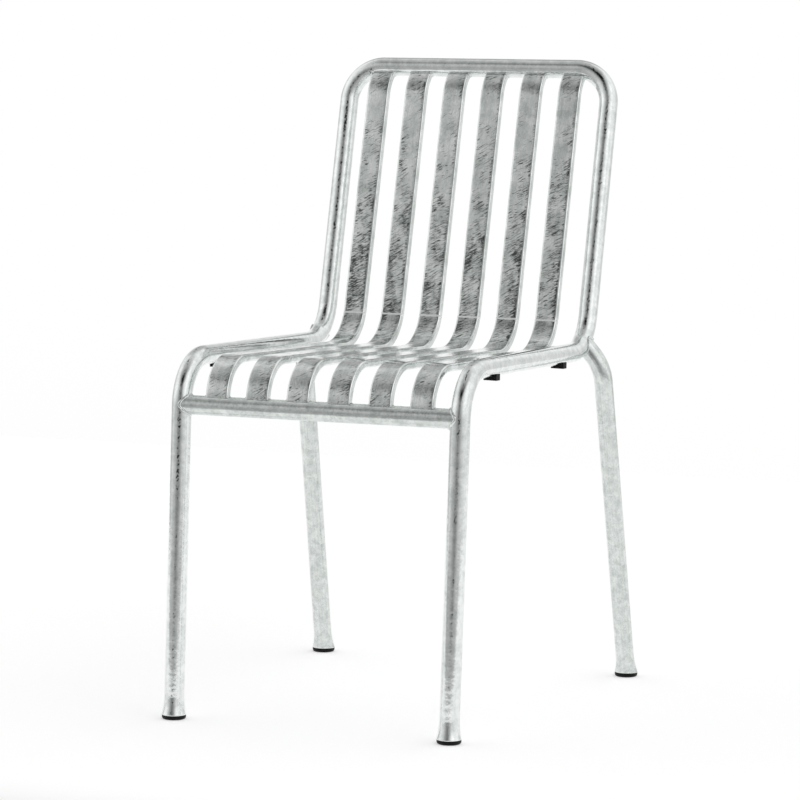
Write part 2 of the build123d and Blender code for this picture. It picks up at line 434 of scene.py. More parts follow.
@dataclass(frozen=True)
class Galvanised(Finish):
    """Hot-dip galvanised steel: a bright zinc skin with soft crystals, ripples and rub marks.

    Zinc that has frozen on steel mirrors what is round it. Near by it has crystals of 5 to
    20 mm that differ faintly in tone, ripples of a few millimetres that break up what it
    mirrors, long faint runs where the melt drained off, and dark strokes from drawing and
    handling. On a round tube the strokes are kept to the strip that mirrors the dim front,
    so there they are a painted reflection as well as rub marks. The strokes are drawn
    about 1 mm wide, coarser than real ones, so that they show in the render.

    Attributes:
        name: Material name.
        slot: Slot name, not used.
        pale: Colour of the palest zinc.
        dull: Colour of the dullest zinc.
        roughness: Mean roughness.
        crystal: Width of a zinc crystal in millimetres.
        ripple: Height of the ripples in millimetres.
        grain: Share of a fine speckle of 2 mm in the tone.
        strokes: How far the strokes' noise is lifted, about -0.2 for hardly any to 0.1.
        stroke_size: Length and width of a long stroke in millimetres; the short ones are
            half as long.
        stroke_turns: Slopes of the long and the short strokes in the bar's face, in
            degrees from across it.
        span: Length in metres that the places along the bar are shares of.
        wear: Place along the bar, as a share of the span, and the wear there from 0 to 1.
        bend_line: Place along the bar of the bright line left by the bending tool, or 0.
        face: Half the width of the face that the strokes keep to, in millimetres.
        dark_reflection_facing: Direction of the strip of a round tube that mirrors the dim front, in
            degrees to the right of straight ahead, where the strokes are kept as a painted
            reflection, or None if the strokes go all round.
        runs: Share of the drain runs in the tone.
        swell: Height of the broad ripples against that of the fine ones.
        depth: How much of the zinc's colour a stroke hides, 0 to 1.
    """

    name: str
    slot: str
    pale: str
    dull: str
    roughness: float
    crystal: float
    ripple: float
    grain: float
    strokes: float
    stroke_size: tuple[float, float] = (20.0, 0.8)
    stroke_turns: tuple[float, float] = (36.0, 12.0)
    span: float = 1.0
    wear: tuple[tuple[float, float], ...] = ((0.0, 0.5), (1.0, 0.5))
    bend_line: float = 0.0
    face: float = 100.0
    dark_reflection_facing: float | None = None
    runs: float = 0.6
    swell: float = 1.6
    depth: float = 0.92

    def build(self, material: bpy.types.Material) -> bpy.types.Node:
        """Adds the zinc's nodes.

        Args:
            material: An empty material.

        Returns:
            The shader node.
        """
        place = add_node(material, "Attribute", settings={"attribute_name": STRAIGHT})
        at = place.outputs["Vector"]
        crystals = add_node(material, "TexVoronoi",
                            inputs={"Scale": 1 / (self.crystal * MM), "Randomness": 1.0},
                            links={"Vector": at})
        tone = add_node(material, "SeparateColor", links={"Color": crystals.outputs["Color"]})
        blotch = self.noise(material, at, (2.2 * self.crystal,) * 3, detail=4.0)
        runs = self.noise(material, at, (3.6, 3.6, 90.0), detail=4.0)
        mixed = add_node(material, "Math", settings={"operation": "MULTIPLY_ADD"},
                         inputs={1: 0.16},
                         links={0: tone.outputs["Red"], 2: blotch.outputs["Fac"]})
        both = add_node(material, "Math", settings={"operation": "MULTIPLY_ADD"},
                        inputs={1: self.runs},
                        links={0: runs.outputs["Fac"], 2: mixed.outputs["Value"]})
        grain = self.noise(material, at, (1.7, 1.7, 2.2), detail=2.0)
        rough = add_node(material, "Math", settings={"operation": "MULTIPLY_ADD"},
                         inputs={1: self.grain},
                         links={0: grain.outputs["Fac"], 2: both.outputs["Value"]})
        middle = 0.57 + 0.5 * (self.runs + self.grain)
        spread = add_node(material, "MapRange",
                          inputs={"From Min": middle - 0.24, "From Max": middle + 0.24},
                          links={"Value": rough.outputs["Value"]})
        zinc = add_node(material, "Mix", settings={"data_type": "RGBA"},
                        inputs={6: linear(self.dull), 7: linear(self.pale)},
                        links={0: spread.outputs["Result"]})
        along = add_node(material, "SeparateXYZ", links={"Vector": at})
        spans = add_node(material, "Math", settings={"operation": "DIVIDE"},
                         inputs={1: self.span}, links={0: along.outputs["Z"]})
        share = add_node(material, "Math", settings={"operation": "FRACT"},
                         links={0: spans.outputs["Value"]})
        marks = self.rub_marks_and_reflection(material, at, share.outputs["Value"], along)
        # Stroke colour 2b2e2d: rub marks, and on a round tube also a painted reflection of the dim
        # front.
        marked = add_node(material, "Mix", settings={"data_type": "RGBA"},
                          inputs={7: linear("2b2e2d")},
                          links={0: marks.outputs["Result"], 6: zinc.outputs[2]})
        # The tool's line is a ridge, drawn 2.6 mm wide and rough, so that it gathers light.
        line = add_node(material, "Math", settings={"operation": "COMPARE"},
                        inputs={1: self.bend_line, 2: 1.3 * MM if self.bend_line else -1.0},
                        links={0: share.outputs["Value"]})
        colour = add_node(material, "Mix", settings={"data_type": "RGBA"},
                          inputs={7: linear("f4f6f5")},
                          links={0: line.outputs["Value"], 6: marked.outputs[2]})
        gloss = add_node(material, "MapRange",
                         inputs={"From Min": 0.3, "From Max": 0.75,
                                 "To Min": self.roughness - 0.04, "To Max": self.roughness + 0.07},
                         links={"Value": runs.outputs["Fac"]})
        rough_line = add_node(material, "Math", settings={"operation": "MULTIPLY_ADD"},
                              inputs={1: 0.5},
                              links={0: line.outputs["Value"], 2: gloss.outputs["Result"]})
        fine = self.noise(material, at, (2.4, 2.4, 4.0), detail=2.0)
        broad = self.noise(material, at, (14.0, 9.0, 7.0), detail=1.0)
        height = add_node(material, "Math", settings={"operation": "MULTIPLY_ADD"},
                          inputs={1: self.swell},
                          links={0: broad.outputs["Fac"], 2: fine.outputs["Fac"]})
        relief = add_node(material, "Bump",
                          inputs={"Strength": 1.0, "Distance": self.ripple * MM},
                          links={"Height": height.outputs["Value"]})
        return add_node(material, "BsdfPrincipled", inputs={"Metallic": 1.0},
                        links={"Base Color": colour.outputs[2],
                               "Roughness": rough_line.outputs["Value"],
                               "Normal": relief.outputs["Normal"]})

    def noise(self, material: bpy.types.Material, at: bpy.types.NodeSocket,
              size: tuple[float, float, float], turn: float = 0.0,
              detail: float = 2.0) -> bpy.types.Node:
        """Adds noise whose bumps have a given size, turned in the bar's face.

        Args:
            material: The material.
            at: Socket with the place in the straight bar.
            size: Width of a bump across, through and along the bar, in millimetres.
            turn: Angle in degrees that the bumps are turned from across the bar.
            detail: Octaves of the noise.

        Returns:
            The noise node.
        """
        placed = add_node(material, "Mapping", settings={"vector_type": "TEXTURE"},
                          inputs={"Rotation": (0.0, -math.radians(turn), 0.0),
                                  "Scale": tuple(width * MM for width in size)},
                          links={"Vector": at})
        return add_node(material, "TexNoise",
                        inputs={"Scale": 1.0, "Detail": detail, "Roughness": 0.55},
                        links={"Vector": placed.outputs["Vector"]})

    def rub_marks_and_reflection(self, material: bpy.types.Material, at: bpy.types.NodeSocket,
                  share: bpy.types.NodeSocket, place: bpy.types.Node) -> bpy.types.Node:
        """Adds dark strokes, dense where the wear and a slow noise are high.

        The mark is the larger of two drawn-out noises, plus the strokes' lift, 0.3 (wear -
        0.5) and 0.54 (slow noise - 0.5), spread from 0.59 to 0.66, on the face alone, and
        lifted or lowered by how rubbed a point is; on a round tube it is also kept to the
        strip that mirrors the dim front, a painted reflection.

        Args:
            material: The material.
            at: Socket with the place in the straight bar.
            share: Socket with the place along it, as a share of the span.
            place: Node with the place in the straight bar as X, Y and Z.

        Returns:
            A node whose Result is how marked a point is, 0 to 1.
        """
        length, width = self.stroke_size
        long, short = (self.noise(material, at, (length * part, 5.0, width), turn, detail=0.4)
                       for part, turn in zip((1.0, 0.5), self.stroke_turns))
        larger = add_node(material, "Math", settings={"operation": "MAXIMUM"},
                          links={0: long.outputs["Fac"], 1: short.outputs["Fac"]})
        ramp = add_node(material, "ValToRGB", links={"Fac": share})
        set_levels(ramp, self.wear)
        worn = add_node(material, "Math", settings={"operation": "MULTIPLY_ADD"},
                        inputs={1: 0.3, 2: self.strokes - 0.3 * 0.5 - 0.54 * 0.5},
                        links={0: ramp.outputs["Color"]})
        slow = self.noise(material, at, (22.0, 22.0, 34.0), detail=3.0)
        zone = add_node(material, "Math", settings={"operation": "MULTIPLY_ADD"},
                        inputs={1: 0.54},
                        links={0: slow.outputs["Fac"], 2: worn.outputs["Value"]})
        where = add_node(material, "Math", settings={"operation": "ADD"},
                         links={0: zone.outputs["Value"], 1: self.rub_and_reflection_lift(material, place)})
        total = add_node(material, "Math", settings={"operation": "ADD"},
                         links={0: larger.outputs["Value"], 1: where.outputs["Value"]})
        inside = add_node(material, "Math", settings={"operation": "COMPARE"},
                          inputs={1: 0.0, 2: self.face * MM},
                          links={0: place.outputs["X"]})
        depth = add_node(material, "Math", settings={"operation": "MULTIPLY"},
                        inputs={1: self.depth},
                         links={0: inside.outputs["Value"]})
        return add_node(material, "MapRange",
                        inputs={"From Min": 0.59, "From Max": 0.66, "To Min": 0.0},
                        links={"Value": total.outputs["Value"], "To Max": depth.outputs["Value"]})

    def rub_and_reflection_lift(self, material: bpy.types.Material, place: bpy.types.Node) -> bpy.types.NodeSocket:
        """Adds the strokes' lift from rubbing, and on a round tube from painted reflection.

        On a round tube it falls from 0 to -0.3 as the surface turns from 4 to 18 degrees
        away from the strip that mirrors the dim front, which keeps the strokes there as a
        painted reflection. On a flat one it rises to 0.09 over the
        last 4 mm before the right edge of the face, and is 0.16 lower on the face away
        from the sitter.

        Args:
            material: The material.
            place: Node with the place in the straight bar as X, Y and Z.

        Returns:
            A socket with the lift of the strokes there.
        """
        if self.dark_reflection_facing is None:
            edge = add_node(material, "MapRange",
                            inputs={"From Min": 8 * MM, "From Max": 12 * MM, "To Max": 0.09},
                            links={"Value": place.outputs["X"]})
            back = add_node(material, "MapRange",
                            inputs={"From Min": -1 * MM, "From Max": 1 * MM, "To Max": -0.16},
                            links={"Value": place.outputs["Y"]})
            both = add_node(material, "Math", settings={"operation": "ADD"},
                            links={0: edge.outputs["Result"], 1: back.outputs["Result"]})
            return both.outputs["Value"]
        # Painted reflection: on a round tube the strokes keep to the strip that mirrors the dim front.
        middle = math.radians(self.dark_reflection_facing)
        normal = add_node(material, "Attribute", settings={"attribute_name": OUTWARD})
        ahead, aside = (add_node(material, "VectorMath", settings={"operation": "DOT_PRODUCT"},
                                 inputs={1: way}, links={0: normal.outputs["Vector"]})
                        for way in ((math.sin(middle), -math.cos(middle), 0.0),
                                    (math.cos(middle), math.sin(middle), 0.0)))
        turn = add_node(material, "Math", settings={"operation": "ARCTAN2"},
                        links={0: aside.outputs["Value"], 1: ahead.outputs["Value"]})
        away = add_node(material, "Math", settings={"operation": "ABSOLUTE"},
                        links={0: turn.outputs["Value"]})
        lift = add_node(material, "MapRange",
                        inputs={"From Min": math.radians(4), "From Max": math.radians(18),
                                "To Max": -0.3},
                        links={"Value": away.outputs["Value"]})
        return lift.outputs["Result"]


@dataclass(frozen=True)
class MouldedPlastic(Finish):
    """Black polyethylene, moulded: a soft satin skin with the mould's fine grain.

    Attributes:
        name: Material name.
        slot: Slot in the record.
        colour: Body colour.
        roughness: Mean roughness.
        grain: Width of the mould's grain in millimetres, coarse enough to show.
    """

    name: str
    slot: str
    colour: str
    roughness: float
    grain: float

    def build(self, material: bpy.types.Material) -> bpy.types.Node:
        """Adds the plastic's nodes.

        Args:
            material: An empty material.

        Returns:
            The shader node.
        """
        where = add_node(material, "TexCoord")
        skin = add_node(material, "TexNoise",
                        inputs={"Scale": 1 / (self.grain * MM), "Detail": 2.0, "Roughness": 0.5},
                        links={"Vector": where.outputs["Object"]})
        gloss = add_node(material, "MapRange",
                         inputs={"From Min": 0.3, "From Max": 0.7, "To Min": self.roughness - 0.06,
                                 "To Max": self.roughness + 0.08},
                         links={"Value": skin.outputs["Fac"]})
        relief = add_node(material, "Bump", inputs={"Strength": 0.12, "Distance": 0.1 * MM},
                          links={"Height": skin.outputs["Fac"]})
        tone = add_node(material, "Mix", settings={"data_type": "RGBA"},
                        inputs={6: linear(self.colour), 7: linear("0c0c0c")},
                        links={0: skin.outputs["Fac"]})
        return add_node(material, "BsdfPrincipled", inputs={"Specular IOR Level": 0.2},
                        links={"Base Color": tone.outputs[2], "Roughness": gloss.outputs["Result"],
                               "Normal": relief.outputs["Normal"]})


@dataclass(frozen=True)
class PlatedScrew(Finish):
    """Zinc-plated screw steel: bright, a little blue, with fine turning marks."""

    name: str = "zinc_plated_screw_steel"
    slot: str = "screw_steel"

    def build(self, material: bpy.types.Material) -> bpy.types.Node:
        """Adds the plating's nodes.

        Args:
            material: An empty material.

        Returns:
            The shader node.
        """
        where = add_node(material, "TexCoord")
        film = add_node(material, "TexNoise",
                        inputs={"Scale": 1 / (0.8 * MM), "Detail": 2.0, "Roughness": 0.5},
                        links={"Vector": where.outputs["Object"]})
        tone = add_node(material, "Mix", settings={"data_type": "RGBA"},
                        inputs={6: linear("a9adb2"), 7: linear("c9cdd0")},
                        links={0: film.outputs["Fac"]})
        gloss = add_node(material, "MapRange",
                         inputs={"From Min": 0.3, "From Max": 0.7, "To Min": 0.24, "To Max": 0.36},
                         links={"Value": film.outputs["Fac"]})
        return add_node(material, "BsdfPrincipled", inputs={"Metallic": 1.0},
                        links={"Base Color": tone.outputs[2], "Roughness": gloss.outputs["Result"]})


# Along a slat: bend over the front rail to 0.085, seat to 0.388, rear bend to 0.465, back to
# 0.762 and the bend into the top rail. The lower back is the most rubbed.
SLAT_WEAR = ((0.0, 0.35), (0.085, 0.30), (0.11, 0.15), (0.37, 0.15), (0.40, 0.50), (0.463, 0.58),
             (0.466, 0.78), (0.56, 0.66), (0.64, 0.48), (0.72, 0.30), (0.75, 0.05), (0.766, 0.42),
             (0.81, 0.40))
# Along a frame tube, as shares of 2 m: leg to 0.20, seat rail to 0.42, upright to 0.58 and
# half of the top rail. The upright and the top of the leg are rubbed by stacking.
TUBE_WEAR = ((0.0, 0.0), (0.12, 0.0), (0.17, 0.20), (0.21, 0.28), (0.40, 0.28), (0.44, 0.32),
             (0.57, 0.28), (0.62, 0.1))
# On the round tubes the strokes keep to the strip 13 degrees right of ahead, which mirrors the dim
# front: a painted reflection over rub marks.
TUBE_ZINC = Galvanised("hot_dip_zinc_on_round_tube", "galvanised_tube", "f0f3f2", "d3d8d6",
                       roughness=0.10, crystal=5.0, ripple=0.09, grain=0.35, strokes=0.05,
                       stroke_size=(5.0, 1.4), stroke_turns=(60.0, 110.0), span=2.0,
                       wear=TUBE_WEAR, dark_reflection_facing=13.0)
BRACE_ZINC = Galvanised("hot_dip_zinc_on_thin_tube", "galvanised_tube", "e3e7e5", "c0c6c3",
                        roughness=0.13, crystal=5.0, ripple=0.11, grain=0.6, strokes=-0.5,
                        stroke_size=(6.0, 1.4), stroke_turns=(80.0, 96.0))
SLAT_ZINC = Galvanised("hot_dip_zinc_on_flat_tube", "galvanised_slat", "f2f5f4", "c6ccc9",
                       roughness=0.13, crystal=11.0, ripple=0.11, grain=0.35, strokes=-0.03,
                       stroke_size=(18.0, 0.85), stroke_turns=(34.0, 16.0), wear=SLAT_WEAR,
                       bend_line=0.4650, face=12.2, runs=0.35, swell=3.0, depth=0.9)
WELD_ZINC = Galvanised("hot_dip_zinc_on_weld", "galvanised_weld", "eaedec", "bcc1bf",
                       roughness=0.20, crystal=4.0, ripple=0.25, grain=0.3, strokes=-0.12)
GLIDE_BLACK = MouldedPlastic("moulded_polyethylene_glide", "glide_plastic", "030303", 0.45, 0.5)
BUFFER_BLACK = MouldedPlastic("moulded_polyethylene_buffer", "buffer_plastic", "020202", 0.55, 0.5)
SCREW_PLATE = PlatedScrew()


# The chair


@dataclass
class ChairLayout:
    """The chair's main sizes, shared by its sub-assemblies. All are in millimetres."""

    side_spacing: float = 368.4
    front_foot: tuple[float, float] = (182.6, -266.4)
    front_corner: tuple[float, float] = (-242.4, 443.8)
    rear_corner: tuple[float, float] = (181.4, 436.3)
    top_corner: tuple[float, float] = (268.5, 797.5)
    front_rail: tuple[float, float] = (-245.488, 386.7)
    rear_foot: tuple[float, float] = (219.0, 266.4)
    rear_knee: tuple[float, float, float] = (211.2, 175.1, 416.6)
    tube_radius: float = 12.25
    brace_radius: float = 12.0
    frame_bend: float = 60.0
    top_bend: float = 47.0
    knee_bend: float = 58.0
    rim_height: float = 5.5

    def side_corners(self, side: Side) -> list[Array]:
        """Corners of a frame tube's axis, from its foot to the middle of the top rail."""
        x = side.value * self.side_spacing / 2
        foot_x, foot_y = self.front_foot
        return [vec(side.value * foot_x, foot_y, 0), vec(x, *self.front_corner),
                vec(x, *self.rear_corner), vec(x, *self.top_corner), vec(0, *self.top_corner)]

    def bend_centre(self, side: Side) -> Array:
        """Centre of the frame tube's rear bend, r / sin(t / 2) from the corner."""
        _, front, rear, top, _ = self.side_corners(side)
        back, up = unit(front - rear), unit(top - rear)
        half = math.acos(float(back @ up)) / 2
        return rear + unit(back + up) * self.frame_bend / math.sin(half)

    def weld_point(self, side: Side) -> Array:
        """Middle of the rear frame bend's axis, where the rear leg meets it."""
        _, _, rear, _, _ = self.side_corners(side)
        centre = self.bend_centre(side)
        return centre + unit(rear - centre) * self.frame_bend

    def rear_leg_corners(self, side: Side) -> list[Array]:
        """Corners of a rear leg's axis: foot, knee and weld point."""
        foot_x, foot_y = self.rear_foot
        knee_x, knee_y, knee_z = self.rear_knee
        return [vec(side.value * foot_x, foot_y, 0), vec(side.value * knee_x, knee_y, knee_z),
                self.weld_point(side)]


@dataclass
class FlaredFoot:
    """Leg end that opens to the rim on a wide arc, cut level with the floor.

    Attributes:
        rim_radius: Radius at the rim.
        length: Length of the flare along the leg.
        rim_height: Height of the level rim above the floor.
        edge: Radius that rounds the rim's outer edge.
    """

    rim_radius: float = 15.25
    length: float = 25.0
    rim_height: float = 5.5
    edge: float = 0.6

    def radius_at(self, along: Array, tube_radius: float) -> Array:
        """Outer radius at a distance above the rim.

        The flare is an arc that touches the tube at its top, so with w = rim - tube its
        own radius is q = (w^2 + length^2) / 2w, and the tube's side is
        tube + q - sqrt(q^2 - (length - along)^2).

        Args:
            along: Distance above the rim along the leg.
            tube_radius: The tube's outer radius.

        Returns:
            The radius, never more than the rim's.
        """
        widening = self.rim_radius - tube_radius
        arc = (widening**2 + self.length**2) / (2 * widening)
        down = np.clip(self.length - along, 0, self.length)
        return tube_radius + arc - np.sqrt(arc**2 - down**2)

    def rings(self, foot: Array, way: Array, across: Array, lift: Array, tube_radius: float,
              angle: Array) -> tuple[Array, Array]:
        """Rings of the flare, the lowest level with the floor and the highest square.

        A ring's point lies at foot + way s + r(s) (across cos a + lift sin a). On the rim s
        solves z = rim_height, found by putting r(s) back in until it settles, and above it
        s goes evenly up to the flare's end.

        Args:
            foot: The axis on the floor.
            way: Direction up the leg.
            across: Direction across the leg.
            lift: The other direction across the leg.
            tube_radius: The tube's outer radius.
            angle: (columns,) angles round the leg.

        Returns:
            Rings (rows, columns, 3), and (rows, columns) distances along the leg.
        """
        rim = self.rim_height / way[2]
        outward = np.cos(angle)[:, None] * across + np.sin(angle)[:, None] * lift
        level = np.full(len(angle), rim)
        for _ in range(12):
            radius = self.radius_at(level - rim, tube_radius)
            level = (self.rim_height - radius * outward[:, 2]) / way[2]
        share = np.concatenate([[0.0, 0.0, 0.012, 0.025], np.linspace(0.06, 1, 12)])[:, None]
        along = level * (1 - share) + (rim + self.length) * share
        radius = self.radius_at(along - rim, tube_radius)
        radius[:3] -= self.edge * np.array([1.0, 0.45, 0.1])[:, None]
        rings = foot + along[..., None] * way + radius[..., None] * outward
        rings[:2, :, 2] = self.rim_height
        return rings, along


@dataclass
class RoundTube:
    """A bent round tube whose lower end may be flared.

    Attributes:
        radius: Outer radius.
        columns: Points round the tube.
        skin: How far the drawn surface stays inside the CAD surface, so that the visual
            model keeps inside the CAD box.
    """

    radius: float
    columns: int = 72
    skin: float = 0.02

    def surface(self, name: str, path: BarPath, reference: Array,
                foot: FlaredFoot | None = None) -> bpy.types.Object:
        """The tube's closed surface: a circle carried along the path.

        Args:
            name: Name of the piece.
            path: The tube's axis, from the floor if there is a foot.
            reference: A direction that the path never runs along.
            foot: The flare at its lower end.

        Returns:
            The piece.
        """
        angle = np.linspace(0, 2 * math.pi, self.columns, endpoint=False)
        across, lift = path.frames(reference)
        radius = self.radius - self.skin
        outward = (np.cos(angle)[None, :, None] * across[:, None]
                   + np.sin(angle)[None, :, None] * lift[:, None])
        points = path.points[:, None] + radius * outward
        along = np.repeat(path.lengths[:, None], self.columns, 1)
        if foot is not None:
            rim = foot.rim_height / path.tangents[0][2]
            keep = path.lengths > rim + foot.length + 1.0
            rings, flare_along = foot.rings(path.points[0], path.tangents[0], across[0], lift[0],
                                            radius, angle)
            points = np.concatenate([rings, points[keep]])
            along = np.concatenate([flare_along, along[keep]])
            outward = np.concatenate([np.repeat(outward[:1], len(rings), 0), outward[keep]])
        round_place = np.stack([np.cos(angle), np.sin(angle)], -1) * radius
        straight = np.concatenate(
            [np.repeat(round_place[None], len(points), 0), along[..., None]], -1)
        return closed_surface(name, points, straight, outward=outward)


@dataclass
class SideTubes:
    """The two frame tubes: front leg, seat rail, back upright and half of the top rail."""

    layout: ChairLayout
    foot: FlaredFoot = field(default_factory=FlaredFoot)

    def build(self) -> list[bpy.types.Object]:
        """Builds and dresses both tubes.

        Returns:
            The two pieces.
        """
        lay = self.layout
        made = []
        for side in Side:
            path = BarPath.bent(lay.side_corners(side), [lay.frame_bend, lay.frame_bend, lay.top_bend])
            # The reference leans out of both planes that the axis bends in.
            reference = vec(0.6 * side.value, -0.64, 0.48)
            node = f"side_tube_{side.word}"
            tube = RoundTube(lay.tube_radius).surface(f"frame_{node}", path, reference, self.foot)
            made.append(dress(tube, TUBE_ZINC, node))
        return made


@dataclass
class Braces:
    """The front rail and the two rear legs, in the thinner tube."""

    layout: ChairLayout
    foot: FlaredFoot = field(default_factory=FlaredFoot)

    def build(self) -> list[bpy.types.Object]:
        """Builds and dresses the rail and the legs.

        Returns:
            The three pieces.
        """
        lay = self.layout
        tube = RoundTube(lay.brace_radius)
        half = lay.side_spacing / 2
        rail = BarPath.bent([vec(-half, *lay.front_rail), vec(half, *lay.front_rail)], [])
        made = [dress(tube.surface("front_cross_rail", rail, vec(0, 0, 1)), BRACE_ZINC, "front_rail")]
        for side in Side:
            path = BarPath.bent(lay.rear_leg_corners(side), [lay.knee_bend])
            node = f"rear_leg_{side.word}"
            leg = tube.surface(f"splayed_{node}", path, vec(0, 1, 0.6), self.foot)
            made.append(dress(leg, BRACE_ZINC, node))
        return made


@dataclass
class Slats:
    """Six slats of flat tube that run from the front rail over the seat and up the back."""

    layout: ChairLayout
    count: int = 6
    pitch: float = 54.1
    width: float = 30.0
    thickness: float = 10.0
    edge: float = 2.5
    rear_corner: tuple[float, float] = (160.4, 433.0)
    top_corner: tuple[float, float] = (243.3, 761.4)
    bends: tuple[float, float] = (50.0, 63.0)
    top_bend: float = 45.0
    skin: float = 0.02

    def places(self) -> list[float]:
        """X of each slat's middle, evenly spaced about the chair's middle."""
        return [(i - (self.count - 1) / 2) * self.pitch for i in range(self.count)]

    def section(self) -> Array:
        """The slat's outline, a rectangle with quarter circles for corners.

        Returns:
            (columns, 2) places across the width and through the thickness.
        """
        half_width, half_depth = self.width / 2 - self.skin, self.thickness / 2 - self.skin
        angle = np.linspace(0, math.pi / 2, 9)
        arc = np.stack([np.cos(angle), np.sin(angle)], -1) * self.edge
        centre = np.array([half_width - self.edge, half_depth - self.edge])
        first, second = centre + arc, np.array([-1.0, 1.0]) * (centre + arc[::-1])
        flat = np.linspace(0, 1, 7)[1:-1, None]
        top = first[-1] + (second[0] - first[-1]) * flat
        upper = np.concatenate([first, top, second])
        return np.concatenate([upper, -upper])

    def path(self, x: float) -> BarPath:
        """Axis of a slat, from the front rail's axis to the top rail.

        Args:
            x: The slat's place across the chair.

        Returns:
            The path, whose last arc turns back until it is nearest to the top rail's axis.
        """
        lay = self.layout
        corners = [vec(x, *lay.front_rail), vec(x, *lay.front_corner), vec(x, *self.rear_corner),
                   vec(x, *self.top_corner)]
        path = BarPath.bent(corners, list(self.bends))
        back = path.tangents[-1]
        centre = corners[-1] + np.cross(vec(-1, 0, 0), back) * self.top_bend
        start, end = corners[-1] - centre, vec(x, *lay.top_corner) - centre
        turn = math.acos(float(unit(start) @ unit(end)))
        return path.turned_on(centre, turn)

    def grid(self, path: BarPath) -> tuple[Array, Array]:
        """The slat's surface: its outline carried along the axis.

        Args:
            path: The slat's axis.

        Returns:
            Points (rows, columns, 3), and the same in the straight slat.
        """
        outline = self.section()
        # The first direction across is the thickness, because the reference is the width.
        depth = path.frames(vec(1, 0, 0))[0]
        width = np.repeat(vec(1, 0, 0)[None], len(path.points), 0)
        points = (path.points[:, None] + outline[None, :, :1] * width[:, None]
                  + outline[None, :, 1:] * depth[:, None])
        flat = np.repeat(outline[None], len(points), 0)
        along = np.repeat(path.lengths[:, None, None], len(outline), 1)
        return points, np.concatenate([flat, along], -1)

    def build(self) -> list[bpy.types.Object]:
        """Builds and dresses the slats.

        Returns:
            The six pieces.
        """
        made = []
        for number, x in enumerate(self.places(), start=1):
            points, straight = self.grid(self.path(x))
            straight[..., 2] += 1000.0 * number
            slat = closed_surface(f"bent_slat_{number}", points, straight, crease=50.0)
            made.append(dress(slat, SLAT_ZINC, f"slat_{number}"))
        return made


